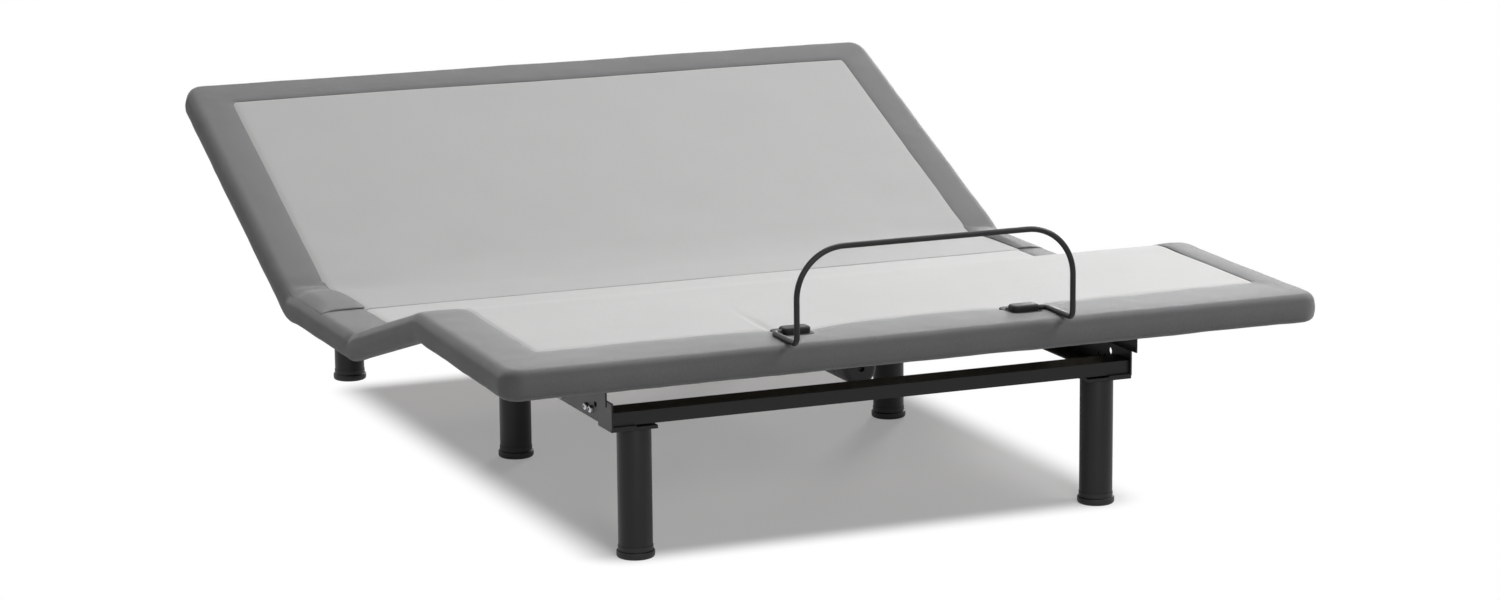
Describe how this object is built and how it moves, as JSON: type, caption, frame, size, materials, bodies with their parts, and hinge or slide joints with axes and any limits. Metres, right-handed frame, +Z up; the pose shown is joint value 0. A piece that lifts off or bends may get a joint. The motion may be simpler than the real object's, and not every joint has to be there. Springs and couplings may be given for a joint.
{
  "type": "adjustable bed base",
  "caption": "Motorised bed base with an upholstered deck that folds at head, thigh and knee, on a black steel chassis with round legs and a mattress retainer bar.",
  "frame": {"origin": "on the floor, under the middle of the base as it stands at rest with head and thighs raised", "axes": "+X to the right seen from the foot end, +Y from the foot end towards the head end, +Z up"},
  "size_m": [1.52, 2.0108, 0.6009],
  "materials": {
    "border_fabric": "woven dark grey upholstery",
    "panel_fabric": "pale grey woven upholstery",
    "black_steel": "satin black powder coat",
    "zinc": "bright zinc plate",
    "plywood": "raw plywood",
    "black_plastic": "moulded black plastic",
    "drive_plastic": "fine textured dark plastic",
    "bright_steel": "ground steel rod"
  },
  "bodies": {
    "chassis": {"left_side_rail": "black_steel", "right_side_rail": "black_steel", "foot_cross_rail": "black_steel", "head_cross_rail": "black_steel", "seat_foot_tube": "black_steel", "seat_head_tube": "black_steel", "foot_left_leg": "black_steel", "foot_right_leg": "black_steel", "middle_left_leg": "black_steel", "middle_right_leg": "black_steel", "head_left_leg": "black_steel", "head_right_leg": "black_steel", "leg_glides": "black_plastic", "leg_plates": "black_steel", "leg_studs": "zinc", "rail_bolts": "zinc", "seat_board": "plywood", "seat_border": "border_fabric", "seat_centre_panel": "panel_fabric", "head_fold_flap": "border_fabric", "seat_hinge_ears": "black_steel", "fold_pins": "zinc", "link_lugs": "black_steel", "link_pins": "zinc", "head_drive_motor": "drive_plastic", "head_drive_gearbox": "drive_plastic", "head_drive_tube": "bright_steel", "thigh_drive_motor": "drive_plastic", "thigh_drive_gearbox": "drive_plastic", "thigh_drive_tube": "bright_steel", "drive_hangers": "black_steel", "control_box": "black_plastic", "power_supply": "black_plastic"},
    "head_section": {"head_board": "plywood", "head_border": "border_fabric", "head_centre_panel": "panel_fabric", "head_arms": "black_steel", "head_lift_tube": "black_steel", "head_top_tube": "black_steel", "head_lever": "black_steel"},
    "thigh_section": {"thigh_board": "plywood", "thigh_border": "border_fabric", "thigh_centre_panel": "panel_fabric", "thigh_arms": "black_steel", "thigh_lift_tube": "black_steel", "thigh_lever": "black_steel"},
    "foot_section": {"foot_board": "plywood", "foot_border": "border_fabric", "foot_centre_panel": "panel_fabric", "foot_arms": "black_steel", "foot_front_tube": "black_steel", "knee_pins": "zinc", "retainer_bar": "black_steel", "retainer_brackets": "black_steel", "bracket_screws": "black_steel"},
    "lift_links": {"link_arms": "black_steel"},
    "head_rod": {"head_drive_rod": "bright_steel", "head_drive_pin": "zinc"},
    "thigh_rod": {"thigh_drive_rod": "bright_steel", "thigh_drive_pin": "zinc"}
  },
  "joints": [
    {"name": "head_lift", "type": "hinge", "parent": "chassis", "child": "head_section", "pos_m": [0, 0.28911, 0.284], "axis": [1, 0, 0], "range_deg": [-23.5, 36.5]},
    {"name": "thigh_lift", "type": "hinge", "parent": "chassis", "child": "thigh_section", "pos_m": [0, -0.11089, 0.284], "axis": [-1, 0, 0], "range_deg": [-14.5, 20.5]},
    {"name": "knee_fold", "type": "hinge", "parent": "thigh_section", "child": "foot_section", "pos_m": [0, -0.50541, 0.35608], "axis": [-1, 0, 0], "range_deg": [-20.5, 14.5]},
    {"name": "link_swing", "type": "hinge", "parent": "chassis", "child": "lift_links", "pos_m": [0, -0.14089, 0.248], "axis": [-1, 0, 0], "range_deg": [-14.5, 20.5]},
    {"name": "head_rod_slide", "type": "slide", "parent": "chassis", "child": "head_rod", "axis": [0, 1, 0], "range_m": [-0.04208, 0.06524]},
    {"name": "thigh_rod_slide", "type": "slide", "parent": "chassis", "child": "thigh_rod", "axis": [0, -1, 0], "range_m": [-0.02498, 0.03523]}
  ],
  "couplings": [
    {"joint": "knee_fold", "follows": "thigh_lift", "ratio": -1},
    {"joint": "link_swing", "follows": "thigh_lift", "ratio": 1},
    {"joint": "thigh_rod_slide", "follows": "thigh_lift", "m_per_rad": 0.0979},
    {"joint": "head_rod_slide", "follows": "head_lift", "m_per_rad": 0.1021}
  ]
}
